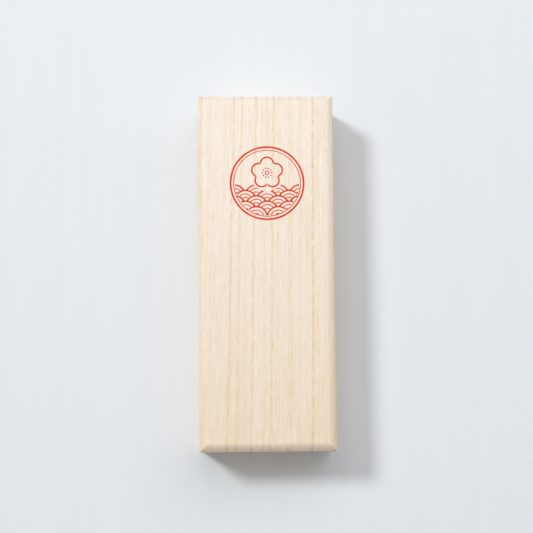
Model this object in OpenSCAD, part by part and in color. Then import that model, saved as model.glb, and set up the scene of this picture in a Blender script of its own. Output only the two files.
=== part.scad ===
// Paulownia wood box with a lift-off lid, and the ink stick that it keeps.
// Millimetres. X runs across the box, Y along the grain towards the head end,
// Z up. The origin is the middle of the underside.

/* [Body] */
// Width over the long walls
box_w = 57; // [52:0.5:70]
// Length over the end walls
box_l = 150; // [146:1:190]
// Height of the body, base board included
body_h = 24; // [22:0.5:36]
// Thickness of the four walls
wall_t = 5; // [4:0.25:6]
// Thickness of the base board
base_t = 5; // [4:0.25:6]
// Fine chamfer planed along the outside edges
arris = 0.4; // [0.2:0.05:0.8]

/* [Lid] */
// Thickness of the lid board
lid_t = 6; // [5:0.25:9]
// Width of the rounded bevel round the top, seen from above
bevel_run = 3.6; // [2:0.1:4.4]
// How far the bevel falls from the flat top to the rim
bevel_drop = 1.8; // [1:0.1:2.4]
// Radius of that bevel's curve
bevel_r = 6; // [5:0.1:12]
// Width of each batten under the lid
batten_w = 6; // [4:0.25:8]
// How far the battens reach down into the body
batten_h = 4; // [2.5:0.25:5]
// Chamfer that leads the battens into the body
batten_lead = 0.9; // [0.4:0.1:1.4]
// Play between the battens and the walls
lid_play = 0.4; // [0.2:0.05:0.8]

/* [Joinery] */
// Fingers in the height of each corner joint
finger_count = 3; // [3:2:5]
// Diameter of the wooden pegs
peg_d = 1.6; // [1.2:0.1:2]
// Length of the pegs in the corner joints
corner_peg_l = 12; // [9:0.5:14]
// Depth that the base pegs reach into the walls
base_peg_bite = 8; // [5:0.5:10]
// Depth that the batten pegs reach into the lid board
lid_peg_bite = 3; // [2:0.25:3.5]
// Length of a peg's pointed tip
peg_tip = 1.5; // [0.8:0.1:2]
// Glue gap round a peg
peg_gap = 0.02; // [0.01:0.01:0.05]
// Base pegs along each long wall
long_wall_pegs = 3; // [2:1:5]
// Distance of the first and last of those from the end walls
long_peg_inset = 12; // [10:0.5:30]
// Distance of the end walls' base pegs from the long walls
end_peg_inset = 14; // [10:0.5:18]
// Distance of the batten pegs from the batten's ends
batten_peg_inset = 7.5; // [4:0.5:12]

/* [Ink stick] */
// Length of the stick
stick_l = 122; // [100:1:128]
// Width of the stick
stick_w = 27; // [22:0.5:30]
// Thickness of the stick
stick_t = 12.5; // [10:0.25:13]
// Rounding of the stick's long edges
stick_edge_r = 1.8; // [1:0.1:2.5]
// Radius of the corners at the foot of the stick
stick_foot_r = 4; // [3.5:0.25:6]
// Width of the rim round each face
rim_w = 2.6; // [2:0.1:3]
// Depth of the panel inside the rim
panel_depth = 0.7; // [0.4:0.1:1]
// Radius of the roundel at the head of the panel
roundel_r = 6.5; // [4:0.25:8]
// Width of the plain plate below the roundel
plate_w = 11; // [8:0.5:14]
// Length of that plate
plate_l = 46; // [30:1:56]
// Clear panel left between the plate and the foot rim
plate_foot = 19; // [14:0.5:22]
// Corner radius of that plate
plate_r = 2; // [1:0.25:3]

/* [Stick bed] */
// Height of the fitted bed
bed_h = 9.5; // [7:0.25:11]
// Gap between the bed and the walls
bed_gap = 0.2; // [0.1:0.05:0.4]
// Play between the stick and its pocket
stick_play = 0.4; // [0.3:0.05:0.8]
// Radius of the two finger scoops
scoop_r = 14; // [11:0.5:17]
// Wood left behind each finger scoop
scoop_web = 2.4; // [1.5:0.1:3.5]

/* [Hidden] */
$fn = 96;
// How far a cutter runs past the face that it opens
cut = 1;

inner_w = box_w - 2 * wall_t;
inner_l = box_l - 2 * wall_t;
wall_h = body_h - base_t;
finger_h = wall_h / finger_count;
// Slope at which the bevel leaves the flat top
bevel_start = atan(bevel_drop / bevel_run) - asin(norm([bevel_run, bevel_drop]) / (2 * bevel_r));

batten_l = inner_w - 2 * lid_play;
batten_y = inner_l / 2 - lid_play - batten_w / 2;
batten_peg_l = batten_h + lid_peg_bite;
batten_peg_x = batten_l / 2 - batten_peg_inset;

base_peg_l = base_t + base_peg_bite;
long_peg_span = inner_l - 2 * long_peg_inset;
end_peg_x = inner_w / 2 - end_peg_inset;

stick_r = stick_w / 2;
stick_foot_y = -stick_l / 2;
stick_head_y = stick_l / 2 - stick_r;

bed_w = inner_w - 2 * bed_gap;
bed_l = inner_l - 2 * bed_gap;
scoop_x = bed_w / 2 - scoop_web - scoop_r;

paulownia = [0.93, 0.86, 0.75];
paulownia_end = [0.89, 0.80, 0.68];
peg_wood = [0.80, 0.68, 0.50];
ink = [0.10, 0.10, 0.11];

// Profiles

// Rectangle about the middle of its lower edge, with its four corners cut off
module chamfered_rect(w, h, c) {
    polygon([
        [-w / 2 + c, 0], [w / 2 - c, 0], [w / 2, c], [w / 2, h - c],
        [w / 2 - c, h], [-w / 2 + c, h], [-w / 2, h - c], [-w / 2, c]
    ]);
}

// Cross-section of the lid board: a bevel that curves over from a soft break in the flat top
module lid_profile(w) {
    difference() {
        translate([-w / 2, 0]) square([w, lid_t]);
        for (side = [0, 1]) mirror([side, 0]) {
            difference() {
                translate([w / 2 - bevel_run, lid_t - bevel_drop])
                    square([bevel_run + cut, bevel_drop + cut]);
                translate([w / 2 - bevel_run - bevel_r * sin(bevel_start),
                           lid_t - bevel_r * cos(bevel_start)]) circle(r = bevel_r);
            }
            polygon([[w / 2 - arris, 0], [w / 2 - arris, -cut], [w / 2 + cut, -cut],
                     [w / 2 + cut, arris], [w / 2, arris]]);
        }
    }
}

// Cross-section of a batten, with its two lower edges chamfered
module batten_profile(w) {
    polygon([
        [-w / 2 + batten_lead, 0], [w / 2 - batten_lead, 0], [w / 2, batten_lead],
        [w / 2, batten_h], [-w / 2, batten_h], [-w / 2, batten_lead]
    ]);
}

// Outline of the ink stick from above: round head, square foot with soft corners
module stick_plan(grow = 0) {
    w = stick_w + 2 * grow;
    r = stick_foot_r + grow;
    foot = stick_foot_y - grow;
    translate([0, stick_head_y]) circle(r = w / 2);
    translate([-w / 2, foot + r]) square([w, stick_head_y - foot - r]);
    translate([-w / 2 + r, foot]) square([w - 2 * r, 2 * r]);
    for (side = [-1, 1]) translate([side * (w / 2 - r), foot + r]) circle(r = r);
}

// Half of the stick's cross-section, from a plane at reach behind its edge
module stick_edge(reach) {
    square([reach - stick_edge_r, stick_t]);
    translate([0, stick_edge_r]) square([reach, stick_t - 2 * stick_edge_r]);
    for (z = [stick_edge_r, stick_t - stick_edge_r])
        translate([reach - stick_edge_r, z]) circle(r = stick_edge_r);
}

// Extrusions along the box's axes

module along_x(length) {
    translate([-length / 2, 0, 0]) rotate([90, 0, 90]) linear_extrude(length) children();
}

module along_y(length) {
    translate([0, length / 2, 0]) rotate([90, 0, 0]) linear_extrude(length) children();
}

// Outside of the closed body, with its fine chamfers
module body_envelope() {
    intersection() {
        along_y(box_l) chamfered_rect(box_w, body_h, arris);
        along_x(box_w) chamfered_rect(box_l, body_h, arris);
        translate([0, -box_l / 2, 0]) linear_extrude(body_h) chamfered_rect(box_w, box_l, arris);
    }
}

// Pegs and where they go

// A peg with its head at the origin, driven along +Z
module peg(length) {
    cylinder(h = length - peg_tip, d = peg_d);
    translate([0, 0, length - peg_tip]) cylinder(h = peg_tip, d1 = peg_d, d2 = peg_d / 2);
}

module peg_hole(length) {
    translate([0, 0, -cut]) cylinder(h = length + peg_gap + cut, d = peg_d + 2 * peg_gap);
}

function finger_z(i) = base_t + (i + 0.5) * finger_h;

// Even fingers belong to the long walls and are pegged across the box,
// odd fingers belong to the end walls and are pegged along it
module at_corner_pegs() {
    for (sx = [-1, 1], sy = [-1, 1], i = [0 : finger_count - 1])
        if (i % 2 == 0)
            translate([sx * box_w / 2, sy * (box_l - wall_t) / 2, finger_z(i)])
                rotate([0, -90 * sx, 0]) children();
        else
            translate([sx * (box_w - wall_t) / 2, sy * box_l / 2, finger_z(i)])
                rotate([90 * sy, 0, 0]) children();
}

module at_base_pegs() {
    for (sx = [-1, 1], i = [0 : long_wall_pegs - 1])
        translate([sx * (box_w - wall_t) / 2,
                   long_peg_span * (i / (long_wall_pegs - 1) - 0.5), 0]) children();
    for (sx = [-1, 1], sy = [-1, 1])
        translate([sx * end_peg_x, sy * (box_l - wall_t) / 2, 0]) children();
}

module at_batten_pegs() {
    for (sx = [-1, 1], sy = [-1, 1])
        translate([sx * batten_peg_x, sy * batten_y, body_h - batten_h]) children();
}

// Body

module base_board() {
    color(paulownia) difference() {
        intersection() {
            body_envelope();
            translate([-box_w / 2, -box_l / 2, 0]) cube([box_w, box_l, base_t]);
        }
        at_base_pegs() peg_hole(base_peg_l);
    }
}

// Long wall, notched at both ends for the end walls' fingers
module long_wall(side) {
    color(paulownia) difference() {
        intersection() {
            body_envelope();
            translate([side * (box_w - wall_t) / 2 - wall_t / 2, -box_l / 2, base_t])
                cube([wall_t, box_l, wall_h]);
        }
        for (sy = [-1, 1], i = [1 : 2 : finger_count - 1])
            translate([side * (box_w - wall_t) / 2 - wall_t / 2 - cut,
                       sy > 0 ? box_l / 2 - wall_t : -box_l / 2 - cut,
                       base_t + i * finger_h])
                cube([wall_t + 2 * cut, wall_t + cut, finger_h]);
        at_corner_pegs() peg_hole(corner_peg_l);
        at_base_pegs() peg_hole(base_peg_l);
    }
}

// End wall between the long walls, with fingers that reach the outside
module end_wall(side) {
    color(paulownia_end) difference() {
        intersection() {
            body_envelope();
            translate([0, side * (box_l - wall_t) / 2 - wall_t / 2, base_t]) {
                translate([-inner_w / 2, 0, 0]) cube([inner_w, wall_t, wall_h]);
                for (i = [1 : 2 : finger_count - 1])
                    translate([-box_w / 2, 0, i * finger_h]) cube([box_w, wall_t, finger_h]);
            }
        }
        at_corner_pegs() peg_hole(corner_peg_l);
        at_base_pegs() peg_hole(base_peg_l);
    }
}

module corner_pegs() {
    color(peg_wood) at_corner_pegs() peg(corner_peg_l);
}

module base_pegs() {
    color(peg_wood) at_base_pegs() peg(base_peg_l);
}

// Lid

module lid_board() {
    color(paulownia) difference() {
        translate([0, 0, body_h]) intersection() {
            along_y(box_l) lid_profile(box_w);
            along_x(box_w) lid_profile(box_l);
            translate([0, -box_l / 2, 0]) linear_extrude(lid_t) chamfered_rect(box_w, box_l, arris);
        }
        at_batten_pegs() peg_hole(batten_peg_l);
    }
}

module lid_batten(side) {
    color(paulownia_end) difference() {
        translate([0, side * batten_y, body_h - batten_h]) intersection() {
            along_x(batten_l) batten_profile(batten_w);
            along_y(batten_w) batten_profile(batten_l);
        }
        at_batten_pegs() peg_hole(batten_peg_l);
    }
}

module batten_pegs() {
    color(peg_wood) at_batten_pegs() peg(batten_peg_l);
}

// Inside

// Board routed through to the shape of the stick, with a scoop for a finger on each side
module stick_bed() {
    color(paulownia) translate([0, 0, base_t]) difference() {
        translate([-bed_w / 2, -bed_l / 2, 0]) cube([bed_w, bed_l, bed_h]);
        translate([0, 0, -cut]) linear_extrude(bed_h + 2 * cut) stick_plan(stick_play);
        for (side = [-1, 1])
            translate([side * scoop_x, 0, -cut]) cylinder(h = bed_h + 2 * cut, r = scoop_r);
    }
}

// The slab of pressed soot, with every outside edge rounded
module stick_slab() {
    corner_x = stick_r - stick_foot_r;
    corner_y = stick_foot_y + stick_foot_r;
    translate([0, stick_head_y, 0]) rotate_extrude(angle = 180) stick_edge(stick_r);
    for (side = [0, 1]) mirror([side, 0, 0]) {
        translate([0, stick_head_y, 0]) rotate([90, 0, 0])
            linear_extrude(stick_head_y - corner_y) stick_edge(stick_r);
        translate([corner_x, corner_y, 0]) rotate([0, 0, -90])
            rotate_extrude(angle = 90) stick_edge(stick_foot_r);
    }
    translate([0, corner_y, 0]) rotate([0, 0, -90]) along_y(2 * corner_x) stick_edge(stick_foot_r);
}

// What is cut out of one face: the panel, less the roundel and the plain plate that stand in it
module stick_panel() {
    difference() {
        linear_extrude(panel_depth + cut) stick_plan(-rim_w);
        translate([0, stick_head_y, -cut]) cylinder(h = panel_depth + 3 * cut, r = roundel_r);
        translate([0, stick_foot_y + rim_w + plate_foot, -cut])
            linear_extrude(panel_depth + 3 * cut) plate_outline();
    }
}

module plate_outline() {
    translate([-plate_w / 2, plate_r]) square([plate_w, plate_l - 2 * plate_r]);
    translate([-plate_w / 2 + plate_r, 0]) square([plate_w - 2 * plate_r, plate_l]);
    for (sx = [-1, 1], y = [plate_r, plate_l - plate_r])
        translate([sx * (plate_w / 2 - plate_r), y]) circle(r = plate_r);
}

module ink_stick() {
    color(ink) translate([0, 0, base_t]) difference() {
        stick_slab();
        translate([0, 0, stick_t - panel_depth]) stick_panel();
        mirror([0, 0, 1]) translate([0, 0, -panel_depth]) stick_panel();
    }
}

base_board();
long_wall(-1);  // left_wall
long_wall(1);  // right_wall
end_wall(1);  // head_wall
end_wall(-1);  // foot_wall
corner_pegs();
base_pegs();
lid_board();
lid_batten(1);  // lid_batten_head
lid_batten(-1);  // lid_batten_foot
batten_pegs();
stick_bed();
ink_stick();
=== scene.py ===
import math
import random

import bmesh
import bpy
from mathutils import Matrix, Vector


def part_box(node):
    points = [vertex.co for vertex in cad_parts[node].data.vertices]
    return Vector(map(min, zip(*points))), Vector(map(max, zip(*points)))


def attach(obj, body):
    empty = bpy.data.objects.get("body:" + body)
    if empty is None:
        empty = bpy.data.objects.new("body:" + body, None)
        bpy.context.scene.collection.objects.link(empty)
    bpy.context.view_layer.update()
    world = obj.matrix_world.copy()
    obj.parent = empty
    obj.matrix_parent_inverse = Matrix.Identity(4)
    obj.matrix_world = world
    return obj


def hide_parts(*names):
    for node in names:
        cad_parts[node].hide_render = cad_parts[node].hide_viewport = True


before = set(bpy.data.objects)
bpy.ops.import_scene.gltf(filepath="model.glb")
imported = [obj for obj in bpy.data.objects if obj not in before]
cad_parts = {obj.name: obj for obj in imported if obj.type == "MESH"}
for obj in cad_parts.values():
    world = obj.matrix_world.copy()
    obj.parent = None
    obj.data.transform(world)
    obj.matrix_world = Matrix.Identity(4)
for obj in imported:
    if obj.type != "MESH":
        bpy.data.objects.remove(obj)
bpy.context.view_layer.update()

mm = 0.001
hair = 0.01 * mm  # points closer than this are in the same place
alongAxis = 0.9   # a direction counts as along an axis from this cosine on
flatOn = 0.999    # and a face counts as flat across it from this one on
scene = bpy.context.scene
scene.view_settings.view_transform = "Standard"
print("frame loaded:", len(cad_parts), "CAD nodes")


# Camera: a long lens, a little to the foot side of straight above the lid
cameraSetup = {
    "place": (-19.82, -58.35, 570.49),  # mm
    "turn": (6.378, -2.017, -0.51),     # degrees about X, Y and Z
    "lens": 87.85,
}


def makeCamera(setup):
    bpy.ops.object.camera_add(
        location=[value * mm for value in setup["place"]],
        rotation=[math.radians(value) for value in setup["turn"]],
    )
    camera = bpy.context.object
    camera.name = "photoCamera"
    camera.data.lens = setup["lens"]
    scene.camera = camera


makeCamera(cameraSetup)
print("camera made")


# Short ways to wire shader nodes
noiseSpan = (0.3, 0.7)        # most values of a noise lie in here
noiseSkew = (1.0, 0.7, -1.3)  # how a noise's shift is shared among the axes


def newMaterial(name):  # with object coordinates in mm
    material = bpy.data.materials.new(name)
    material.use_nodes = True
    tree = material.node_tree
    tree.nodes.clear()
    shader = tree.nodes.new("ShaderNodeBsdfPrincipled")
    output = tree.nodes.new("ShaderNodeOutputMaterial")
    tree.links.new(shader.outputs["BSDF"], output.inputs["Surface"])
    place = tree.nodes.new("ShaderNodeTexCoord")
    mapping = tree.nodes.new("ShaderNodeMapping")
    mapping.inputs["Scale"].default_value = [1 / mm] * 3
    tree.links.new(place.outputs["Object"], mapping.inputs["Vector"])
    return material, tree, shader, mapping.outputs[0]


def feed(tree, socket, value):  # a link or a plain value
    if isinstance(value, bpy.types.NodeSocket):
        tree.links.new(value, socket)
    elif socket.type == "RGBA":
        socket.default_value = (*value, 1)
    else:
        socket.default_value = value


def maths(tree, operation, *values):
    node = tree.nodes.new("ShaderNodeMath")
    node.operation = operation
    for socket, value in zip(node.inputs, values):
        feed(tree, socket, value)
    return node.outputs[0]


def mixColour(tree, share, first, second, blend="MIX"):
    node = tree.nodes.new("ShaderNodeMix")
    node.data_type = "RGBA"
    node.blend_type = blend
    feed(tree, node.inputs[0], share)
    feed(tree, node.inputs[6], first)
    feed(tree, node.inputs[7], second)
    return node.outputs[2]


def mixShader(tree, share, first, second):
    node = tree.nodes.new("ShaderNodeMixShader")
    tree.links.new(share, node.inputs[0])
    tree.links.new(first.outputs[0], node.inputs[1])
    tree.links.new(second.outputs[0], node.inputs[2])
    return node


def remap(tree, value, low, high, toLow=0.0, toHigh=1.0):
    node = tree.nodes.new("ShaderNodeMapRange")
    node.interpolation_type = "SMOOTHSTEP"
    for socket, setting in zip(node.inputs, (value, low, high, toLow, toHigh)):
        feed(tree, socket, setting)
    return node.outputs[0]


def remapLinear(tree, value, low, high):
    return maths(tree, "MULTIPLY_ADD", value, 1 / (high - low), -low / (high - low))


def noise(tree, vector, pattern, seed=0.0):  # scale: waves per mm across and along the grain
    across, along = pattern["scale"]
    shift = pattern["shift"] + seed
    mapping = tree.nodes.new("ShaderNodeMapping")
    mapping.inputs["Location"].default_value = [shift * share for share in noiseSkew]
    mapping.inputs["Scale"].default_value = (across, along, across)
    tree.links.new(vector, mapping.inputs["Vector"])
    texture = tree.nodes.new("ShaderNodeTexNoise")
    texture.inputs["Scale"].default_value = 1
    texture.inputs["Detail"].default_value = pattern.get("detail", 2.0)
    texture.inputs["Roughness"].default_value = pattern.get("rough", 0.5)
    tree.links.new(mapping.outputs[0], texture.inputs["Vector"])
    if "range" in pattern:  # the values that show, and what they turn to
        return remap(tree, texture.outputs[0], *pattern["range"])
    return texture.outputs[0]


def swing(tree, value, source, amount, middle=0.5):  # a noise pushes a value both ways
    push = maths(tree, "SUBTRACT", source, middle)
    return maths(tree, "MULTIPLY_ADD", push, amount, value)


def dressShader(tree, shader, finish, colour, height, sheen=None):  # sheen varies the roughness
    roughness = finish["roughness"]
    if sheen is not None:
        roughness = remap(tree, sheen, *finish.get("sheenSpan", noiseSpan), *roughness)
    feed(tree, shader.inputs["Base Color"], colour)
    feed(tree, shader.inputs["Roughness"], roughness)
    feed(tree, shader.inputs["Specular IOR Level"], finish["gloss"])
    depth, strength = finish["relief"]  # mm, and a share
    bump = tree.nodes.new("ShaderNodeBump")
    feed(tree, bump.inputs["Distance"], depth * mm)
    feed(tree, bump.inputs["Strength"], strength)
    feed(tree, bump.inputs["Height"], height)
    feed(tree, shader.inputs["Normal"], bump.outputs[0])


def vectorOf(tree, *values):
    node = tree.nodes.new("ShaderNodeCombineXYZ")
    for socket, value in zip(node.inputs, values):
        tree.links.new(value, socket)
    return node.outputs[0]


def axesOf(tree, vector, order):
    node = tree.nodes.new("ShaderNodeSeparateXYZ")
    tree.links.new(vector, node.inputs[0])
    return [node.outputs["xyz".index(letter)] for letter in order]


def seenRays(tree):  # 1 where a surface is seen or mirrored, 0 where it only lights
    rays = tree.nodes.new("ShaderNodeLightPath")
    seen = maths(tree, "MAXIMUM", rays.outputs["Is Camera Ray"], rays.outputs["Is Glossy Ray"])
    return maths(tree, "MAXIMUM", seen, rays.outputs["Is Transmission Ray"])


# Studio: one key lamp high on the left behind the head end, two weak fills, a pale room
lampSetup = {
    "keyLamp": {"place": (-1.578, 1.068, 2.316), "size": 0.63, "shape": "DISK",
                "watts": 43.4, "colour": (0.976, 1.0, 1.012)},
    "headFill": {"place": (0.0, 0.5, 1.0), "size": 0.8, "shape": "SQUARE",
                 "watts": 2.95, "colour": (0.96, 1.0, 1.06)},
    "sideFill": {"place": (0.65, 0.5, 0.75), "size": 0.8, "shape": "SQUARE",
                 "watts": 1.7, "colour": (1.0, 1.0, 1.0)},
}
roomLight = {"ambient": (0.345, 0.338, 0.334), "backdrop": (0.80, 0.83, 0.855)}


def makeLamps(setup):
    for name, lamp in setup.items():
        place = Vector(lamp["place"])
        bpy.ops.object.light_add(
            type="AREA", location=place, rotation=place.to_track_quat("Z", "Y").to_euler()
        )
        light = bpy.context.object
        light.name = name
        light.visible_camera = False
        light.data.shape = lamp["shape"]
        light.data.size = lamp["size"]
        light.data.energy = lamp["watts"]
        light.data.color = lamp["colour"]


def makeRoom(light):  # pale where it is seen, weak where it only lights
    scene.world = bpy.data.worlds.new("paleRoom")
    scene.world.use_nodes = True
    tree = scene.world.node_tree
    tree.nodes.clear()
    glow = tree.nodes.new("ShaderNodeBackground")
    glow.inputs["Color"].default_value = (*light["ambient"], 1)
    backdrop = tree.nodes.new("ShaderNodeBackground")
    backdrop.inputs["Color"].default_value = (*light["backdrop"], 1)
    either = mixShader(tree, seenRays(tree), glow, backdrop)
    output = tree.nodes.new("ShaderNodeOutputWorld")
    tree.links.new(either.outputs[0], output.inputs["Surface"])


makeLamps(lampSetup)
makeRoom(roomLight)
print("lamps and room made")


# Floor: smooth painted board that runs into the backdrop far from the box
paleFloor = {
    "paper": (0.806, 0.837, 0.860),
    "shade": (0.795, 0.826, 0.849),
    "brush": {"scale": (0.16, 0.004), "shift": 3.7, "detail": 3.0},
    "roughness": 0.8,
    "gloss": 0.2,
    "relief": (0.02, 0.2),
    "fade": (300, 1300),  # mm from the box over which it turns into the backdrop
    "radius": 4.0,        # m
    "sides": 96,
}


def floorMaterial(name):
    material, tree, shader, place = newMaterial(name)
    brush = noise(tree, place, paleFloor["brush"])
    colour = mixColour(tree, remap(tree, brush, *noiseSpan), paleFloor["paper"], paleFloor["shade"])
    dressShader(tree, shader, paleFloor, colour, brush)
    distance = tree.nodes.new("ShaderNodeVectorMath")
    distance.operation = "LENGTH"
    tree.links.new(place, distance.inputs[0])
    far = remap(tree, distance.outputs["Value"], *paleFloor["fade"])
    backdrop = tree.nodes.new("ShaderNodeEmission")
    backdrop.inputs["Color"].default_value = (*roomLight["backdrop"], 1)
    sweep = mixShader(tree, maths(tree, "MULTIPLY", far, seenRays(tree)), shader, backdrop)
    tree.links.new(sweep.outputs[0], tree.nodes["Material Output"].inputs["Surface"])
    return material


def makeFloor(material):
    bpy.ops.object.select_all(action="DESELECT")
    bpy.ops.mesh.primitive_circle_add(
        vertices=paleFloor["sides"], radius=paleFloor["radius"], fill_type="NGON"
    )
    floor = bpy.context.object
    floor.name = "paleFloor"
    floor.data.materials.append(material)


makeFloor(floorMaterial("floorPaint"))
print("floor made")


# Paulownia: pale, soft, with honey lines where each year's growth starts
paulowniaWood = {
    "pale": (0.970, 0.880, 0.779),
    "honey": (0.900, 0.742, 0.560),
    "line": (0.845, 0.605, 0.310),     # start of a year's growth
    "pore": (0.74, 0.50, 0.26),
    "fleck": (0.945, 0.935, 0.925),    # short duller patches of fibre
    # the tone a board deepens to towards its foot; on the lid the paler head end is partly painted
    # sheen
    "deep": (0.94, 0.877, 0.803),      # what the far end of a board turns to
    "endTint": (0.822, 0.815, 0.820),  # end grain drinks light
    "endLine": (0.915, 0.87, 0.93),    # and its growth lines are darker
    "endLineRange": (0.05, 0.65),      # strengths of a line between which it shows there
    "endLinePower": 3.0,               # how late it comes as a face turns
    "endFacing": 0.55,                 # a face this square to the grain is all end grain
    "lineRise": 0.55,                  # mm from clear wood to the middle of a line
    "lineFall": 1.2,                   # mm back to clear wood
    "linesPerRamp": 10,
    "waverWidth": 0.7,                 # mm that a line wavers
    "jogWidth": 0.45,                  # mm that it jogs in short steps
    "bandDepth": 1.3,
    "fibreDepth": 2.6,
    "fibreMiddle": 0.47,
    "poreDepth": (0.85, 0.20),         # added on a growth line, and everywhere
    "poreHollow": -1.6,
    "fibreRidge": 0.6,
    "roughness": (0.58, 0.74),
    "gloss": 0.3,
    "relief": (0.06, 0.5),
}

# Its patterns, in the order of their use
woodPatterns = {
    "wander": {"scale": (0.03, 0.018), "shift": 3.1},
    "waver": {"scale": (0.3, 0.09), "shift": 7.7},
    "jog": {"scale": (0.8, 0.32), "shift": 13.7},
    "dashes": {"scale": (1.4, 0.26), "shift": 2.3, "detail": 4.0, "rough": 0.65,
               "range": (0.34, 0.62, 0.12, 1.05)},
    "clouds": {"scale": (0.07, 0.016), "shift": 11.9, "range": (0.25, 0.75, -0.22, 0.22)},
    "bands": {"scale": (0.45, 0.006), "shift": 29.7, "detail": 3.0, "rough": 0.6},
    "fibre": {"scale": (1.8, 0.045), "shift": 5.3, "detail": 4.0, "rough": 0.66},
    "flecks": {"scale": (2.0, 0.14), "shift": 23.1, "detail": 3.0, "rough": 0.6, "range": (0.36, 0.64)},
    "pores": {"scale": (2.6, 0.36), "shift": 17.3, "detail": 3.0, "rough": 0.6, "range": (0.56, 0.70)},
}


def growthRamp(tree, across, lines, low, high):  # a ramp holds few stops, so lines share several
    wood = paulowniaWood
    share = remapLinear(tree, across, low, high)
    total = 0.0
    for start in range(0, len(lines), wood["linesPerRamp"]):
        ramp = tree.nodes.new("ShaderNodeValToRGB")
        ramp.color_ramp.interpolation = "EASE"
        stops = ramp.color_ramp.elements
        stops[0].color = (0, 0, 0, 1)
        stops[1].color = (0, 0, 0, 1)
        for place, strength in lines[start:start + wood["linesPerRamp"]]:
            for offset, level in ((-wood["lineRise"], 0), (0, strength), (wood["lineFall"], 0)):
                stop = (place + offset - low) / (high - low)
                if 0 < stop < 1:
                    stops.new(stop).color = (level, level, level, 1)
        tree.links.new(share, ramp.inputs[0])
        total = maths(tree, "MAXIMUM", ramp.outputs[0], total)
    return total


def paulownia(name, board):
    wood = paulowniaWood
    material, tree, shader, place = newMaterial(name)
    across, along, through = axesOf(tree, place, board["grain"])
    normal = tree.nodes.new("ShaderNodeTexCoord").outputs["Normal"]
    facing = axesOf(tree, normal, board["grain"])[1]
    plain = vectorOf(tree, across, along, through)

    def layer(pattern, vector):
        return noise(tree, vector, woodPatterns[pattern], board["seed"])

    # where a point lies among the growth lines, which lean and wander along the board
    lowEnd, highEnd = board["length"]
    towardsFoot = remapLinear(tree, along, highEnd, lowEnd)
    lean = maths(tree, "MULTIPLY_ADD", across, board["lean"][1], board["lean"][0])
    ring = maths(tree, "MULTIPLY_ADD", towardsFoot, lean, across)
    belowFace = maths(tree, "SUBTRACT", through, board["face"])
    ring = maths(tree, "MULTIPLY_ADD", belowFace, board["tilt"], ring)
    ring = swing(tree, ring, layer("wander", plain), board["wander"])
    ring = swing(tree, ring, layer("waver", plain), wood["waverWidth"])
    ring = swing(tree, ring, layer("jog", plain), wood["jogWidth"])
    rings = growthRamp(tree, ring, board["lines"], *board["width"])
    grain = vectorOf(tree, ring, along, through)  # from here on everything follows the lines
    lines = maths(tree, "MULTIPLY", rings, layer("dashes", grain))

    # ground colour: broad clouds, bands, fine fibre, short flecks, a slow change from end to end
    tone = layer("clouds", grain)
    tone = swing(tree, tone, layer("bands", grain), wood["bandDepth"])
    fibre = layer("fibre", grain)
    tone = swing(tree, tone, fibre, wood["fibreDepth"], wood["fibreMiddle"])
    for side in board["honeySides"]:
        tone = maths(tree, "ADD", tone, remap(tree, across, *side))
    colour = mixColour(tree, tone, wood["pale"], wood["honey"])
    colour = mixColour(tree, layer("flecks", grain), colour, wood["fleck"], "MULTIPLY")
    # a slow change from end to end: on the lid partly the wood's own tone, partly painted sheen on the
    # paler head end
    deepeningAndSheen = maths(tree, "MULTIPLY_ADD", towardsFoot, board["deepenAndSheen"][1], board["deepenAndSheen"][0])
    colour = mixColour(tree, deepeningAndSheen, colour, wood["deep"], "MULTIPLY")
    colour = mixColour(tree, lines, colour, wood["line"])

    # pores: short open streaks, thickest beside the growth lines
    depth = maths(tree, "MULTIPLY_ADD", lines, *wood["poreDepth"])
    pores = maths(tree, "MULTIPLY", layer("pores", grain), depth)
    colour = mixColour(tree, pores, colour, wood["pore"])

    # end grain, darker as a face turns to the end of a board: partly the end grain's own tone, partly
    # painted shade on the foot bevel; the head's smaller share is painted light on the lit head end
    lowCut = remap(tree, facing, 0.0, -wood["endFacing"], 0.0, board["endGrainAndLight"][0])
    highCut = remap(tree, facing, 0.0, wood["endFacing"], 0.0, board["endGrainAndLight"][1])
    cut = maths(tree, "ADD", lowCut, highCut)
    colour = mixColour(tree, cut, colour, wood["endTint"], "MULTIPLY")
    # with its smaller share the head end's lines come later: painted light
    endLinesAndLight = maths(tree, "POWER", cut, wood["endLinePower"])
    cutLines = maths(tree, "MULTIPLY", endLinesAndLight, remap(tree, rings, *wood["endLineRange"]))
    colour = mixColour(tree, cutLines, colour, wood["endLine"], "MULTIPLY")

    hollows = maths(tree, "MULTIPLY", pores, wood["poreHollow"])
    height = maths(tree, "MULTIPLY_ADD", fibre, wood["fibreRidge"], hollows)
    dressShader(tree, shader, wood, colour, height, fibre)
    return material


# Boards and the grain of each: across, along and through it as X, Y and Z letters; sizes in mm
lidBoardGrain = {
    "grain": "xyz", "length": (-75, 75), "width": (-34, 34), "seed": 0.0,
    "lines": [(-27.5, 0.6), (-24.0, 0.3), (-21.3, 0.2), (-17.4, 0.15), (-13.7, 0.65), (-10.2, 0.65),
              (-7.2, 0.15), (-4.3, 0.75), (-1.9, 0.12), (0.3, 0.4), (3.3, 0.78), (5.6, 0.35),
              (8.0, 0.12), (10.3, 0.6), (11.4, 0.6), (14.6, 0.2), (17.0, 0.12), (19.9, 1.0),
              (22.2, 0.25), (24.8, 0.15), (28.95, 0.8)],  # place across the lid, strength
    # the lid deepens from head to foot: partly its own tone, partly painted sheen on the head end
    "lean": (2.7, -0.055), "tilt": -0.12, "face": 30, "wander": 1.2, "deepenAndSheen": (0.0, 1.0),
    "endGrainAndLight": (1.0, 0.65),  # end-grain darkening at the foot and at the head end; the head's smaller share is painted light on the lit head end
    "honeySides": [(-24.5, -28.5, 0.0, 0.7), (25.0, 27.0, 0.0, 0.25)],  # from, to, honey from, to
}
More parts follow.
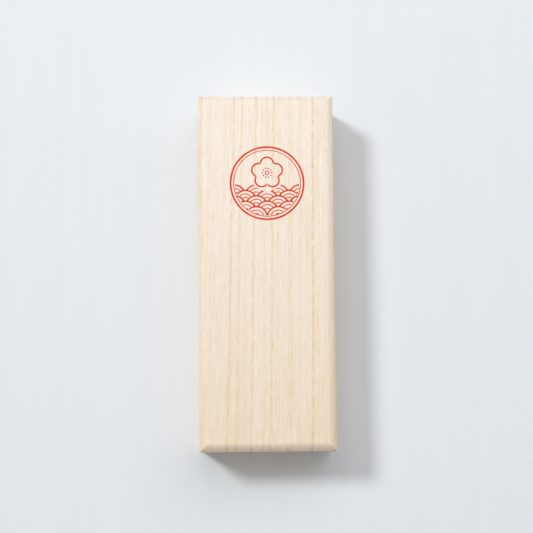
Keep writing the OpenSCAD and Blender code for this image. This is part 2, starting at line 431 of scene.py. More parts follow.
hiddenLines = {
    "first": (0.3, 1.0),  # shares of the pitch before the first line
    "strength": (0.35, 1.0),
    "leastPitch": 2.2,    # mm
    "pitchSpread": 0.35,  # share of the pitch
}


def growthLines(seed, low, high, pitch):  # places in mm across the grain, with strengths
    draw = random.Random(seed)
    lines = []
    place = low + draw.uniform(*hiddenLines["first"]) * pitch
    while place < high:
        lines.append((place, draw.uniform(*hiddenLines["strength"])))
        step = draw.gauss(pitch, hiddenLines["pitchSpread"] * pitch)
        place += max(hiddenLines["leastPitch"], step)
    return lines


def boardGrain(seed, grain, width, length, pitch):  # for the boards under the lid
    return {
        "grain": grain, "length": length, "width": width, "seed": seed,
        "lines": growthLines(seed, width[0], width[1], pitch),
        "lean": (1.2, 0.02), "tilt": 0.35, "face": 0, "wander": 3.0, "deepenAndSheen": (0.9, 0.4),
        "endGrainAndLight": (1.0, 1.0),
        "honeySides": [(*width, 0.0, 0.2)],
    }


boardGrains = {
    "baseGrain": boardGrain(21, "xyz", (-31, 31), (-75, 75), 6.0),
    "leftGrain": boardGrain(32, "zyx", (2, 27), (-75, 75), 3.6),
    "rightGrain": boardGrain(43, "zyx", (2, 27), (-75, 75), 3.4),
    "headGrain": boardGrain(54, "zxy", (2, 27), (-29, 29), 3.8),
    "footGrain": boardGrain(65, "zxy", (2, 27), (-29, 29), 3.3),
    "headBattenGrain": boardGrain(76, "yxz", (60, 73), (-24, 24), 2.8),
    "footBattenGrain": boardGrain(87, "yxz", (-73, -60), (-24, 24), 2.8),
    "bedGrain": boardGrain(98, "xyz", (-27, 27), (-70, 70), 5.2),
    "lidGrain": lidBoardGrain,
}


# Peg wood: split hardwood, cut flush, with fine dark dots on the end
pegWood = {
    "pale": (0.66, 0.49, 0.29),
    "dark": (0.40, 0.26, 0.13),
    "fibre": {"scale": (5.0, 5.0), "shift": 4.4, "detail": 3.0, "rough": 0.6},
    "dots": (0.48, 0.68),  # fibre values between which the dots darken
    "clouds": {"scale": (0.35, 0.35), "shift": 9.2, "range": (0.3, 0.8, 0.0, 0.5)},
    "roughness": (0.5, 0.68),
    "gloss": 0.3,
    "relief": (0.04, 0.5),
}


def pegMaterial(name):
    material, tree, shader, place = newMaterial(name)
    fibre = noise(tree, place, pegWood["fibre"])
    colour = mixColour(tree, remap(tree, fibre, *pegWood["dots"]), pegWood["pale"], pegWood["dark"])
    colour = mixColour(tree, noise(tree, place, pegWood["clouds"]), colour, pegWood["dark"])
    dressShader(tree, shader, pegWood, colour, fibre, fibre)
    return material


# Ink: soot and glue pressed in a wooden mould, rubbed by hand
pressedInk = {
    "soot": (0.011, 0.011, 0.013),
    "rubbed": (0.030, 0.029, 0.031),
    "clouds": {"scale": (0.12, 0.05), "shift": 6.1, "detail": 3.0},
    "rubbedRange": (0.35, 0.75),
    "pits": {"scale": (2.6, 2.2), "shift": 8.8, "detail": 4.0, "rough": 0.65, "range": (0.2, 0.36)},
    "mould": {"scale": (1.7, 0.05), "shift": 1.9, "detail": 3.0, "rough": 0.6},
    "mouldRidge": 0.9,  # the grain of the mould, printed faintly
    "roughness": (0.30, 0.52),
    "sheenSpan": (0.25, 0.75),
    "gloss": 0.5,
    "relief": (0.04, 0.3),
}


def inkMaterial(name):
    material, tree, shader, place = newMaterial(name)
    clouds = noise(tree, place, pressedInk["clouds"])
    rubbed = remap(tree, clouds, *pressedInk["rubbedRange"])
    colour = mixColour(tree, rubbed, pressedInk["soot"], pressedInk["rubbed"])
    pits = noise(tree, place, pressedInk["pits"])
    mould = noise(tree, place, pressedInk["mould"])
    height = maths(tree, "MULTIPLY_ADD", mould, pressedInk["mouldRidge"], pits)
    dressShader(tree, shader, pressedInk, colour, height, clouds)
    return material


# Gilt: gold brushed over the raised work, thin in places
giltPaint = {
    "gold": (0.83, 0.60, 0.25),
    "worn": (0.34, 0.21, 0.08),
    "brush": {"scale": (1.1, 3.2), "shift": 2.7, "detail": 4.0, "rough": 0.6},
    "wear": {"scale": (0.8, 0.8), "shift": 13.1, "detail": 4.0, "rough": 0.65, "range": (0.52, 0.68)},
    "metal": (0.95, 0.55),  # whole, and worn
    "roughness": (0.30, 0.55),
    "gloss": 0.5,
    "relief": (0.03, 0.4),
}


def giltMaterial(name):
    material, tree, shader, place = newMaterial(name)
    brush = noise(tree, place, giltPaint["brush"])
    wear = noise(tree, place, giltPaint["wear"])
    colour = mixColour(tree, wear, giltPaint["gold"], giltPaint["worn"])
    tree.links.new(remap(tree, wear, 0.0, 1.0, *giltPaint["metal"]), shader.inputs["Metallic"])
    dressShader(tree, shader, giltPaint, colour, brush, brush)
    return material


# Vermilion: stamped ink that sinks into the grain, thinner on the pores
vermilionInk = {
    "full": (0.765, 0.034, 0.011),
    "thin": (0.83, 0.11, 0.050),
    "streaks": {"scale": (3.6, 0.3), "shift": 17.3, "detail": 3.0, "rough": 0.6},
    "streakLevel": 0.62,
    "patches": {"scale": (0.5, 0.5), "shift": 6.6},
    "patchShare": 0.9,
    "thinRange": (0.3, 0.6),
    "roughness": (0.5, 0.7),
    "gloss": 0.15,
    "relief": (0.03, 0.4),
}


def vermilionMaterial(name):
    ink = vermilionInk
    material, tree, shader, place = newMaterial(name)
    streaks = noise(tree, place, ink["streaks"])
    patches = noise(tree, place, ink["patches"])
    pale = maths(tree, "SUBTRACT", streaks, ink["streakLevel"])
    pale = maths(tree, "MULTIPLY_ADD", patches, ink["patchShare"], pale)
    colour = mixColour(tree, remap(tree, pale, *ink["thinRange"]), ink["full"], ink["thin"])
    dressShader(tree, shader, ink, colour, streaks, streaks)
    return material


woods = {name: paulownia(name, board) for name, board in boardGrains.items()}
pegSkin = pegMaterial("pegWood")
inkSkin = inkMaterial("pressedInk")
giltSkin = giltMaterial("giltPaint")
printSkin = vermilionMaterial("vermilionInk")
print("materials made")


# Ways of working in edit mode
easedFrom = 28  # degrees between two faces from which their edge is eased


def letGo():
    bpy.ops.object.select_all(action="DESELECT")


def activate(piece):
    letGo()
    piece.select_set(True)
    bpy.context.view_layer.objects.active = piece


def editMode(piece):
    activate(piece)
    bpy.ops.object.mode_set(mode="EDIT")


def objectMode():
    bpy.ops.object.mode_set(mode="OBJECT")


def placeInMesh(piece):  # the object goes back to the origin, its place stays in the mesh
    activate(piece)
    bpy.ops.object.transform_apply(location=True, rotation=True, scale=True)


def takeActive(name):  # the object that was just made, under its own name
    piece = bpy.context.object
    piece.name = name
    piece.data.name = name
    return piece


def startBlock(name, low, high):
    letGo()
    bpy.ops.mesh.primitive_cube_add(size=1, location=(low + high) / 2)
    block = takeActive(name)
    block.scale = high - low
    placeInMesh(block)
    return block


def startRod(name, radius, low, high, sides):  # an upright rod between two heights
    letGo()
    bpy.ops.mesh.primitive_cylinder_add(
        vertices=sides, radius=radius, depth=high - low, location=(0, 0, (low + high) / 2)
    )
    rod = takeActive(name)
    placeInMesh(rod)
    return rod


def pickAll():
    bpy.ops.mesh.select_all(action="SELECT")


def pickFaces(piece, wanted):  # wanted(middle, normal) says which faces
    bpy.ops.mesh.select_mode(type="FACE")
    bpy.ops.mesh.select_all(action="DESELECT")
    mesh = bmesh.from_edit_mesh(piece.data)
    for face in mesh.faces:
        if wanted(face.calc_center_median(), face.normal):
            face.select_set(True)
    mesh.select_flush_mode()
    bmesh.update_edit_mesh(piece.data)


def pickFacing(piece, facing, least=alongAxis):  # faces that look up (1) or down (-1)
    pickFaces(piece, lambda middle, normal: normal.z * facing > least)


def pickEdges(piece, wanted):  # wanted(middle, direction) says which edges
    bpy.ops.mesh.select_mode(type="EDGE")
    bpy.ops.mesh.select_all(action="DESELECT")
    mesh = bmesh.from_edit_mesh(piece.data)
    for edge in mesh.edges:
        start, end = (vertex.co for vertex in edge.verts)
        if wanted((start + end) / 2, (end - start).normalized()):
            edge.select_set(True)
    mesh.select_flush_mode()
    bmesh.update_edit_mesh(piece.data)


def extrudePicked(offset):
    bpy.ops.mesh.extrude_region_move(TRANSFORM_OT_translate={"value": offset})


def bevelPicked(width, steps):
    bpy.ops.mesh.bevel(offset=width, segments=steps, affect="EDGES")


def applyModifier(piece, kind, **settings):
    activate(piece)
    modifier = piece.modifiers.new(kind.lower(), kind)
    for key, value in settings.items():
        setattr(modifier, key, value)
    bpy.ops.object.modifier_apply(modifier=modifier.name)


def allOver(middle, direction):
    return 1.0


def easeEdges(piece, width, share=allOver, segments=2):  # share(middle, direction) of the width
    editMode(piece)
    mesh = bmesh.from_edit_mesh(piece.data)
    weights = mesh.edges.layers.float.new("bevel_weight_edge")
    for edge in mesh.edges:
        if edge.is_convex and edge.calc_face_angle(0) > math.radians(easedFrom):
            start, end = (vertex.co for vertex in edge.verts)
            edge[weights] = share((start + end) / 2, (end - start).normalized())
    bmesh.update_edit_mesh(piece.data)
    objectMode()
    applyModifier(piece, "BEVEL", limit_method="WEIGHT", width=width, segments=segments)


def cutAway(piece, cutter):
    applyModifier(piece, "BOOLEAN", operation="DIFFERENCE", solver="EXACT", object=cutter)


def removePiece(piece):
    bpy.data.objects.remove(piece, do_unlink=True)


def joinPieces(name, parts):
    activate(parts[0])
    for part in parts:
        part.select_set(True)
    bpy.ops.object.join()
    return takeActive(name)


def finishPiece(piece, body, material, nodes=(), smoothUnder=32):  # degrees
    activate(piece)
    bpy.ops.object.shade_smooth_by_angle(angle=math.radians(smoothUnder))
    applyModifier(piece, "WEIGHTED_NORMAL", weight=50, keep_sharp=True)
    piece.data.materials.clear()
    piece.data.materials.append(material)
    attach(piece, body)
    if nodes:
        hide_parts(*nodes)
    print("made", piece.name, "with", len(piece.data.polygons), "faces")


# Pegs: their places are read from the CAD nodes, one solid per peg
pegBodies = {"corner": "box", "base": "box", "batten": "lid"}
pegShape = {
    "sides": 20,
    "tip": 1.5,          # mm of taper at the driven end
    "tipShare": 0.5,     # share of the width left there
    "headEase": 0.09,
    "headSteps": 2,
    "headSink": 0.02,    # cut flush, a touch below the face
    "crownShare": 0.45,  # of the radius, from the edge to the raised middle of the end
    "crownRise": 0.3,    # of the sink, how far that rises
    "glueGap": 0.02,
    "drillStart": 1.0,   # how far the drill starts outside the face
}


def pegPlaces(place):  # head point, driving direction, length and radius of each peg
    mesh = bmesh.new()
    mesh.from_mesh(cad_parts[place + "_pegs"].data)
    bmesh.ops.remove_doubles(mesh, verts=mesh.verts, dist=0.1 * hair)
    waiting = set(mesh.verts)
    places = []
    while waiting:
        reached = [waiting.pop()]
        for vertex in reached:
            for edge in vertex.link_edges:
                other = edge.other_vert(vertex)
                if other in waiting:
                    waiting.remove(other)
                    reached.append(other)
        points = [vertex.co.copy() for vertex in reached]
        low = Vector([min(point[axis] for point in points) for axis in range(3)])
        high = Vector([max(point[axis] for point in points) for axis in range(3)])
        size = high - low
        axis = max(range(3), key=lambda index: size[index])
        middle = (low + high) / 2

        def spread(end):
            tips = [point for point in points if abs(point[axis] - end[axis]) < hair]
            return max((point - middle).length for point in tips)
        direction = Vector((0, 0, 0))
        direction[axis] = 1 if spread(low) > spread(high) else -1  # from the wide end to the tip
        places.append((middle - direction * size[axis] / 2, direction, size[axis], min(size) / 2))
    mesh.free()
    places.sort(key=lambda place: tuple(round(value, 6) for value in place[0]))
    return places


def copyAlong(model, places):  # a copy of an upright model at each place, then the model goes
    copies = []
    for place in places:
        head, direction = place[:2]
        activate(model)
        bpy.ops.object.duplicate()
        copy = bpy.context.object
        copy.location = head
        copy.rotation_euler = direction.to_track_quat("Z", "Y").to_euler()
        placeInMesh(copy)
        copies.append(copy)
    removePiece(model)
    return copies


def modelPeg(length, radius):  # head at the origin, driven up
    shape = pegShape
    sink = shape["headSink"] * mm
    tip = shape["tip"] * mm
    narrow = shape["tipShare"]
    peg = startRod("pegModel", radius, sink, length - tip, shape["sides"])
    editMode(peg)
    pickFacing(peg, 1)
    extrudePicked((0, 0, tip))
    bpy.ops.transform.resize(value=(narrow, narrow, 1), center_override=(0, 0, length))
    pickFacing(peg, -1)
    bevelPicked(shape["headEase"] * mm, shape["headSteps"])
    pickFacing(peg, -1, flatOn)
    bpy.ops.mesh.inset(thickness=shape["crownShare"] * radius, depth=shape["crownRise"] * sink)
    objectMode()
    return peg


def makePegs(place, body, material):
    places = pegPlaces(place)
    copies = copyAlong(modelPeg(*places[0][2:]), places)
    finishPiece(joinPieces(place + "Pegs", copies), body, material, [place + "_pegs"])


def makeDrills():  # one cutter for every peg hole
    drills = []
    gap = pegShape["glueGap"] * mm
    start = -pegShape["drillStart"] * mm
    for place in pegBodies:
        places = pegPlaces(place)
        length, radius = places[0][2:]
        drill = startRod("drillModel", radius + gap, start, length + gap, pegShape["sides"])
        drills += copyAlong(drill, places)
    return joinPieces("pegDrills", drills)


# Body: boards with finger joints
bodyJoint = {
    "fingers": 3,
    "outsideEase": 0.4,  # mm planed off the outside edges
    "seamShare": 0.28,   # share of that on the edges along a seam
}
bodyLow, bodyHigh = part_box("base_board")[0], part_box("left_wall")[1]
bodyHigh = Vector((-bodyLow.x, -bodyLow.y, bodyHigh.z))


def edgeShare(middle, direction):  # an edge on two outside faces of the body is a planed one
    faces = 0
    for axis in range(3):
        if abs(direction[axis]) < alongAxis:
            gap = min(abs(middle[axis] - bodyLow[axis]), abs(middle[axis] - bodyHigh[axis]))
            faces += gap < 5 * hair
    return 1.0 if faces == 2 else bodyJoint["seamShare"]


def makeBase(material, drills):
    board = startBlock("baseBoard", *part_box("base_board"))
    easeEdges(board, bodyJoint["outsideEase"] * mm, edgeShare)
    cutAway(board, drills)
    finishPiece(board, "box", material, ["base_board"])


def makeWall(name, node, material, drills):
    low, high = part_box(node)
    size = high - low
    lengthAxis = 1 if size.y > size.x else 0
    fingerHeight = size.z / bodyJoint["fingers"]
    firstFinger = 0 if lengthAxis == 1 else 1  # long walls hold the even fingers
    core = Vector((0, 0, 0))
    core[lengthAxis] = size[1 - lengthAxis]  # a finger is as long as a wall is thick
    wall = startBlock(name, low + core, high - core)
    editMode(wall)
    for row in range(1, bodyJoint["fingers"]):
        pickAll()
        bpy.ops.mesh.bisect(plane_co=(0, 0, low.z + row * fingerHeight), plane_no=(0, 0, 1))
    for side in (-1, 1):
        def isFinger(middle, normal):
            row = int((middle.z - low.z) / fingerHeight)
            return normal[lengthAxis] * side > alongAxis and row % 2 == firstFinger
        pickFaces(wall, isFinger)
        extrudePicked(core * side)
    pickAll()
    bpy.ops.mesh.dissolve_limited(angle_limit=math.radians(1))
    objectMode()
    easeEdges(wall, bodyJoint["outsideEase"] * mm, edgeShare)
    cutAway(wall, drills)
    finishPiece(wall, "box", material, [node])


# Lid: one board with a bevel that curves over on all four sides, and two battens under it
lidShape = {
    "bevelRun": 3.6,
    "bevelDrop": 1.8,
    "bevelRadius": 6.0,
    "bevelSteps": 14,
    "cornerEase": 0.75,  # mm rounded off the upright corners
    "easeSteps": 3,
    "rimShare": 0.3,     # share of that along the foot of the bevel
    "underShare": 0.5,   # and along the edges of the underside
    "topSink": 0.03,     # room for the print on the top face
    "smoothUnder": 40,   # degrees
    "battenLead": 0.9,
    "battenEase": 0.15,
}


def makeLid(material, drills):
    shape = lidShape
    low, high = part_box("lid_board")
    high.z -= shape["topSink"] * mm
    radius = shape["bevelRadius"] * mm
    chordSlope = math.atan2(shape["bevelDrop"], shape["bevelRun"])
    chord = math.hypot(shape["bevelDrop"], shape["bevelRun"])
    halfTurn = math.asin(chord / 2 / shape["bevelRadius"])
    rim = high.z - shape["bevelDrop"] * mm
    lid = startBlock("lidBoard", low, Vector((high.x, high.y, rim)))
    editMode(lid)
    pickFacing(lid, 1)
    steps = shape["bevelSteps"]
    slopes = [chordSlope + halfTurn * (1 - 2 * step / steps) for step in range(steps + 1)]
    for before, after in zip(slopes, slopes[1:]):  # from the rim up to the flat
        bpy.ops.mesh.inset(
            thickness=radius * (math.sin(before) - math.sin(after)),
            depth=radius * (math.cos(after) - math.cos(before)),
        )
    objectMode()

    def lidEdgeShare(middle, direction):
        if abs(middle.z - rim) < hair:
            return shape["rimShare"]
        if abs(direction.z) > alongAxis:
            return 1.0
        return shape["underShare"] if middle.z < rim else 0.0  # the mitres stay crisp

    def isMitre(middle, direction):
        return middle.z > rim and abs(direction.x * direction.y) > 0.1  # along X and Y at once
    easeEdges(lid, shape["cornerEase"] * mm, lidEdgeShare, shape["easeSteps"])
    cutAway(lid, drills)
    editMode(lid)
    pickEdges(lid, isMitre)
    bpy.ops.mesh.mark_sharp()
    objectMode()
    finishPiece(lid, "lid", material, ["lid_board"], shape["smoothUnder"])


def makeBatten(name, node, material, drills):
    low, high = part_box(node)
    batten = startBlock(name, low, high)
    editMode(batten)
    pickEdges(batten, lambda middle, direction: middle.z < low.z + hair)
    bevelPicked(lidShape["battenLead"] * mm, 1)
    objectMode()
    easeEdges(batten, lidShape["battenEase"] * mm)
    cutAway(batten, drills)
    finishPiece(batten, "lid", material, [node])


drills = makeDrills()
makeBase(woods["baseGrain"], drills)
for side in ("left", "right", "head", "foot"):
    makeWall(side + "Wall", side + "_wall", woods[side + "Grain"], drills)
makeLid(woods["lidGrain"], drills)
for end in ("head", "foot"):
    makeBatten(end + "Batten", "lid_batten_" + end, woods[end + "BattenGrain"], drills)
removePiece(drills)
for place, body in pegBodies.items():
    makePegs(place, body, pegSkin)
print("box and lid made")


# Line work for the print and the gilt: each stroke is a centre, a radius, a width and where it shows
strokeSides = {"least": 24, "perRadius": 24}  # corners of a circle: the fewest, and for a mm of radius
blossomShape = {
    "petals": 5,
    "openShare": 0.62,  # no petal lines nearer to the middle, as a share of the petals' reach
    "heartShare": 0.2,
    "dots": 10,
    "dotReach": 0.5,
    "dotTurn": 18,      # degrees
    "dotShare": 0.5,    # of the line width
}
waveShape = {
    "coverShare": 1.03,  # of a front wave's radius, inside which it hides the others
    "footSlack": 0.02,   # mm of a line kept under the wave's middle
}


def keepAll(point):
    return True


def drawStroke(piece, origin, centre, radius, width, keep=keepAll):  # a circle, open where keep says no
    middle = Vector((*centre, 0)) * mm + origin
    outer = radius + width / 2
    bpy.ops.mesh.primitive_circle_add(
        vertices=max(strokeSides["least"], int(radius * strokeSides["perRadius"])),
        radius=outer * mm, fill_type="NOTHING" if width else "NGON", location=middle,
    )
    if width:  # without one it stays a dot
        mesh = bmesh.from_edit_mesh(piece.data)
        for vertex in mesh.verts:
            if not vertex.hide:
                vertex.select_set(not keep((vertex.co - origin) / mm))
        mesh.select_flush_mode()
        bmesh.update_edit_mesh(piece.data)
        bpy.ops.mesh.delete(type="VERT")
        pickAll()
        bpy.ops.mesh.extrude_region_move()
        shrink = (radius - width / 2) / outer
        bpy.ops.transform.resize(value=(shrink, shrink, 1), center_override=middle)
    pickAll()
    bpy.ops.mesh.hide()


def drawStrokes(name, centre, strokes, thickness, raggedness=0.0, seed=0):
    letGo()
    bpy.ops.mesh.primitive_circle_add(vertices=3, radius=mm, location=centre)
    piece = takeActive(name)
    placeInMesh(piece)
    editMode(piece)
    bpy.ops.mesh.select_mode(type="VERT")
    pickAll()
    bpy.ops.mesh.delete(type="VERT")  # the mesh starts empty
    for stroke in strokes:
        drawStroke(piece, centre, *stroke)
    bpy.ops.mesh.reveal()
    pickAll()
    if raggedness:
        bpy.ops.transform.vertex_random(offset=raggedness * mm, seed=seed)
        bpy.ops.transform.resize(value=(1, 1, 0), center_override=centre)
    pickFacing(piece, -1, 0)
    bpy.ops.mesh.flip_normals()
    objectMode()
    applyModifier(piece, "SOLIDIFY", thickness=thickness * mm, offset=1.0)
    return piece


def ringOf(count, radius, turn=0.0):  # points evenly round a circle, the first at the top
    angles = [math.tau * index / count + math.radians(turn) for index in range(count)]
    return [(radius * math.sin(angle), radius * math.cos(angle)) for angle in angles]


def within(point, centre, radius):
    return math.hypot(point.x - centre[0], point.y - centre[1]) < radius


def blossomStrokes(middle, design):  # a blossom in outline
    shape = blossomShape
    reach, petal = design["petalReach"], design["petalRadius"]
    centres = [(middle[0] + x, middle[1] + y) for x, y in ringOf(shape["petals"], reach)]
    strokes = []
    for centre in centres:
        others = [other for other in centres if other != centre]

        def outline(point, others=others):
            covered = any(within(point, other, petal) for other in others)
            return not covered and not within(point, middle, shape["openShare"] * reach)
        strokes.append((centre, petal, design["line"], outline))
    strokes.append((middle, shape["heartShare"] * reach, design["fine"]))
    for x, y in ringOf(shape["dots"], shape["dotReach"] * reach, shape["dotTurn"]):
        place = (middle[0] + x, middle[1] + y)
        strokes.append((place, shape["dotShare"] * design["line"], 0))
    return strokes


def waveStrokes(rows, design, inside):  # overlapping waves, front rows hide the back
    radius = design["waveRadius"]
    widths = (design["line"], design["fine"], design["fine"])
    centres = []
    for y, count in rows:
        shift = (count - 1) / 2
        centres.append([((index - shift) * 2 * radius, y) for index in range(count)])
    strokes = []
    for row, places in enumerate(centres):
        front = [place for nearer in centres[:row] for place in nearer]
        for place in places:
            def shown(point, place=place, front=front):
                hidden = any(within(point, other, radius * waveShape["coverShare"]) for other in front)
                return point.y >= place[1] - waveShape["footSlack"] and not hidden and inside(point)
            for share, width in zip(design["waveShares"], widths):
                strokes.append((place, radius * share, width, shown))
    return strokes


# Print on the lid: a blossom over waves in a double ring, stamped in vermilion
lidPrint = {
    "centre": (0.33, 37.3),  # mm from the middle of the lid
    "ring": (15.4, 0.78),    # radius and line width
    "innerRing": (14.1, 0.36),
    "blossom": (0.0, 4.4),
    "clearing": 0.9,         # mm without waves round the blossom
    "petalReach": 3.9,
    "petalRadius": 2.75,
    "line": 0.66,
    "fine": 0.40,
    "waveRadius": 4.6,
    "waveRows": [(-14.6, 4), (-12.3, 5), (-10.0, 6), (-7.7, 5), (-5.4, 6)],  # height and count
    "waveShares": (1.0, 0.68, 0.36),
    "lift": 0.004,  # mm between the wood and the ink
    "thickness": 0.012,
    "raggedness": 0.028,
    "seed": 5,
}


def makePrint(material):
    design = lidPrint
    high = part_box("lid_board")[1]
    height = high.z - (lidShape["topSink"] - design["lift"]) * mm
    centre = Vector((design["centre"][0] * mm, design["centre"][1] * mm, height))
    rim = design["innerRing"][0] - design["innerRing"][1]
    flower = design["blossom"]
    clear = design["petalReach"] + design["petalRadius"] + design["clearing"]

    def inWater(point):
        return within(point, (0, 0), rim) and not within(point, flower, clear)
    strokes = [((0, 0), *ring) for ring in (design["ring"], design["innerRing"])]
    strokes += blossomStrokes(flower, design)
    strokes += waveStrokes(design["waveRows"], design, inWater)
    stamp = drawStrokes(
        "lidPrint", centre, strokes, design["thickness"], design["raggedness"], design["seed"]
    )
    finishPiece(stamp, "lid", material)


makePrint(printSkin)
print("print made")


# Ink stick: a pressed slab with an arched head, a rimmed panel on each face and raised work in it
stickShape = {
    "archSteps": 28,
    "archShare": 0.99999,  # of half the width, so that the two rounds just meet
    "weld": 0.002,         # mm
    "footRound": 4.0,
    "footSteps": 10,
    "edgeRound": 1.8,
    "edgeSteps": 7,
    "rim": 2.6,
    "panelDepth": 0.7,
    "panelLip": [(0.08, 0.03), (0.10, 0.10), (0.12, 0.44), (0.12, 0.10), (0.12, 0.03)],  # inset, drop
    "reliefSink": 0.06,  # raised work ends a little under the rim
    "reliefEase": 0.2,
    "reliefSteps": 3,
    "roundelRadius": 6.5,
    "roundelSides": 72,
    "roundelRim": 0.55,
    "roundelLip": [(0.12, 0.08), (0.12, 0.16), (0.12, 0.04)],
    "plateWidth": 11.0,
    "plateLength": 46.0,
    "plateFoot": 19.0,   # mm of panel between the plate and the foot rim
    "plateRound": 2.0,
    "plateSteps": 8,
    "plateRim": 0.8,
    "plateLip": [(0.08, 0.05), (0.10, 0.12), (0.08, 0.03)],
}


def roundedSlab(name, low, high, footRound):  # arched head, soft corners at the foot
    shape = stickShape
    slab = startBlock(name, low, high)
    half = (high.x - low.x) / 2
    editMode(slab)
    pickEdges(slab, lambda middle, direction: abs(direction.z) > alongAxis and middle.y > 0)
    bevelPicked(half * shape["archShare"], shape["archSteps"])
    pickAll()
    bpy.ops.mesh.remove_doubles(threshold=shape["weld"] * mm)

    def isFootCorner(middle, direction):
        return abs(direction.z) > alongAxis and middle.y < low.y + hair
    pickEdges(slab, isFootCorner)
    bevelPicked(footRound, shape["footSteps"])
    objectMode()
    return slab


def sinkPanel(piece, facing, rim, lip):  # a recess with a soft lip, on the face that looks that way
    pickFacing(piece, facing, flatOn)
    bpy.ops.mesh.inset(thickness=rim * mm)
    for inset, drop in lip:
        bpy.ops.mesh.inset(thickness=inset * mm, depth=-drop * mm)


def makeStick(material):
    shape = stickShape
    low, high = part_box("ink_stick")
    stick = roundedSlab("inkStick", low, high, shape["footRound"] * mm)
    editMode(stick)
    pickEdges(stick, lambda middle, direction: abs(direction.z) < alongAxis)
    bevelPicked(shape["edgeRound"] * mm, shape["edgeSteps"])
    for facing in (-1, 1):
        sinkPanel(stick, facing, shape["rim"] - shape["edgeRound"], shape["panelLip"])
    objectMode()
    finishPiece(stick, "ink_stick", material, ["ink_stick"])


def reliefHeights(facing):  # panel floor and top of the raised work on one face
    low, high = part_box("ink_stick")
    sink, depth = stickShape["reliefSink"] * mm, stickShape["panelDepth"] * mm
    if facing > 0:
        return high.z - depth, high.z - sink
    return low.z + depth, low.z + sink


def finishRelief(piece, facing, rim, lip, material):  # eased outside, sunk inside a narrow rim
    pickFacing(piece, facing)
    bevelPicked(stickShape["reliefEase"] * mm, stickShape["reliefSteps"])
    sinkPanel(piece, facing, rim, lip)
    objectMode()
    finishPiece(piece, "ink_stick", material)


def makeRoundel(name, facing, material):  # a disc with a raised border
    shape = stickShape
    low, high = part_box("ink_stick")
    bottom, top = sorted(reliefHeights(facing))
    disc = startRod(name, shape["roundelRadius"] * mm, bottom, top, shape["roundelSides"])
    disc.location.y = high.y - (high.x - low.x) / 2
    placeInMesh(disc)
    editMode(disc)
    finishRelief(disc, facing, shape["roundelRim"], shape["roundelLip"], material)


def makePlate(name, facing, material):  # a plain raised plate with a sunk field
    shape = stickShape
    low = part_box("ink_stick")[0]
    bottom, top = sorted(reliefHeights(facing))
    half = shape["plateWidth"] / 2 * mm
    foot = low.y + (shape["rim"] + shape["plateFoot"]) * mm
    head = foot + shape["plateLength"] * mm
    plate = startBlock(name, Vector((-half, foot, bottom)), Vector((half, head, top)))
    editMode(plate)
    pickEdges(plate, lambda middle, direction: abs(direction.z) > alongAxis)
    bevelPicked(shape["plateRound"] * mm, shape["plateSteps"])
    finishRelief(plate, facing, shape["plateRim"], shape["plateLip"], material)


# Gilt on the front: blossom in the roundel, waves at the foot of the panel
giltWork = {
    "petalReach": 2.5,
    "petalRadius": 1.75,
    "line": 0.42,
    "fine": 0.3,
    "waveRadius": 3.6,
    "wavePitch": 1.8,
    "waveCounts": (4, 3, 4, 3, 4, 3),
    "waveShares": (1.0, 0.66, 0.32),
    "margin": 0.9,  # clear panel between the waves and the rim
    "height": 0.28,
}


def makeGilt(material):
    work, shape = giltWork, stickShape
    low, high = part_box("ink_stick")
    panelFloor, reliefTop = reliefHeights(1)
    fieldSink = sum(drop for inset, drop in shape["roundelLip"]) * mm
    headCentre = Vector((0, high.y - (high.x - low.x) / 2, reliefTop - fieldSink - hair))
    flower = drawStrokes("giltBlossom", headCentre, blossomStrokes((0, 0), work), work["height"])
    finishPiece(flower, "ink_stick", material)
    side = (high.x - low.x) / 2 / mm - shape["rim"] - work["margin"]

    def inPanel(point):
        return abs(point.x) < side and point.y > work["margin"]
    rows = [(work["margin"] + row * work["wavePitch"], count)
            for row, count in enumerate(work["waveCounts"])]
    footCentre = Vector((0, low.y + shape["rim"] * mm, panelFloor - hair))
    waves = drawStrokes("giltWaves", footCentre, waveStrokes(rows, work, inPanel), work["height"])
    finishPiece(waves, "ink_stick", material)


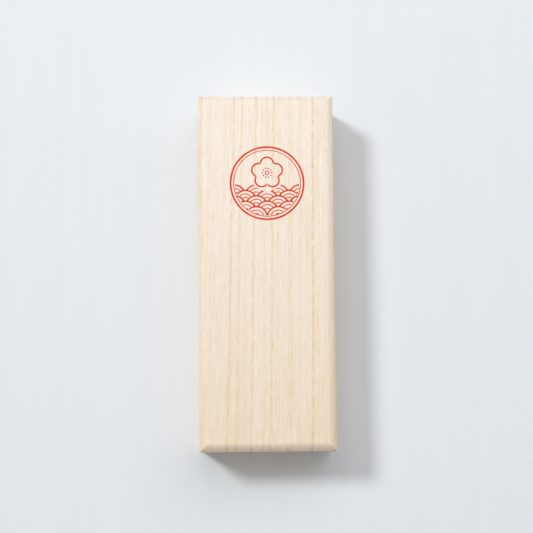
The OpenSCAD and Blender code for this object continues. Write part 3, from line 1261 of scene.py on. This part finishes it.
# Bed: a board routed to the stick's outline, with a scoop for a finger on each side
bedShape = {
    "stickPlay": 0.4,
    "scoopRadius": 14.0,
    "scoopWeb": 2.4,
    "scoopSides": 120,
    "flare": 0.5,    # mm that the cut edges open at the top
    "edgeEase": 0.2,
    "overrun": 1.0,  # how far a cutter runs past the board
}


def flareTop(cutter, size, middle):  # widens the cutter's top edge, then runs it on upwards
    flare = bedShape["flare"] * mm
    overrun = bedShape["overrun"] * mm
    editMode(cutter)
    pickFacing(cutter, 1)
    extrudePicked((0, 0, flare))
    widen = (1 + 2 * flare / size.x, 1 + 2 * flare / size.y, 1)
    bpy.ops.transform.resize(value=widen, center_override=middle)
    extrudePicked((0, 0, overrun))
    objectMode()


def makeBed(material):
    shape = bedShape
    low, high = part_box("stick_bed")
    bed = startBlock("stickBed", low, high)
    easeEdges(bed, shape["edgeEase"] * mm)
    stickLow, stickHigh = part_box("ink_stick")
    play = Vector((shape["stickPlay"], shape["stickPlay"], 0)) * mm
    bottom = low.z - shape["overrun"] * mm
    top = high.z - shape["flare"] * mm
    pocketLow, pocketHigh = stickLow - play, stickHigh + play
    pocketLow.z, pocketHigh.z = bottom, top
    footRound = (stickShape["footRound"] + shape["stickPlay"]) * mm
    pocket = roundedSlab("pocketCutter", pocketLow, pocketHigh, footRound)
    flareTop(pocket, pocketHigh - pocketLow, (pocketLow + pocketHigh) / 2)
    cutAway(bed, pocket)
    removePiece(pocket)
    radius = shape["scoopRadius"] * mm
    for side in (-1, 1):
        scoop = startRod("scoopCutter", radius, bottom, top, shape["scoopSides"])
        scoop.location.x = side * (high.x - shape["scoopWeb"] * mm - radius)
        middle = scoop.location.copy()
        placeInMesh(scoop)
        flareTop(scoop, Vector((2 * radius, 2 * radius, 0)), middle)
        cutAway(bed, scoop)
        removePiece(scoop)
    finishPiece(bed, "box", material, ["stick_bed"])


makeBed(woods["bedGrain"])
makeStick(inkSkin)
for faceName, facing in (("front", 1), ("back", -1)):
    makeRoundel(faceName + "Roundel", facing, inkSkin)
    makePlate(faceName + "Plate", facing, inkSkin)
makeGilt(giltSkin)
print("stick and bed made")
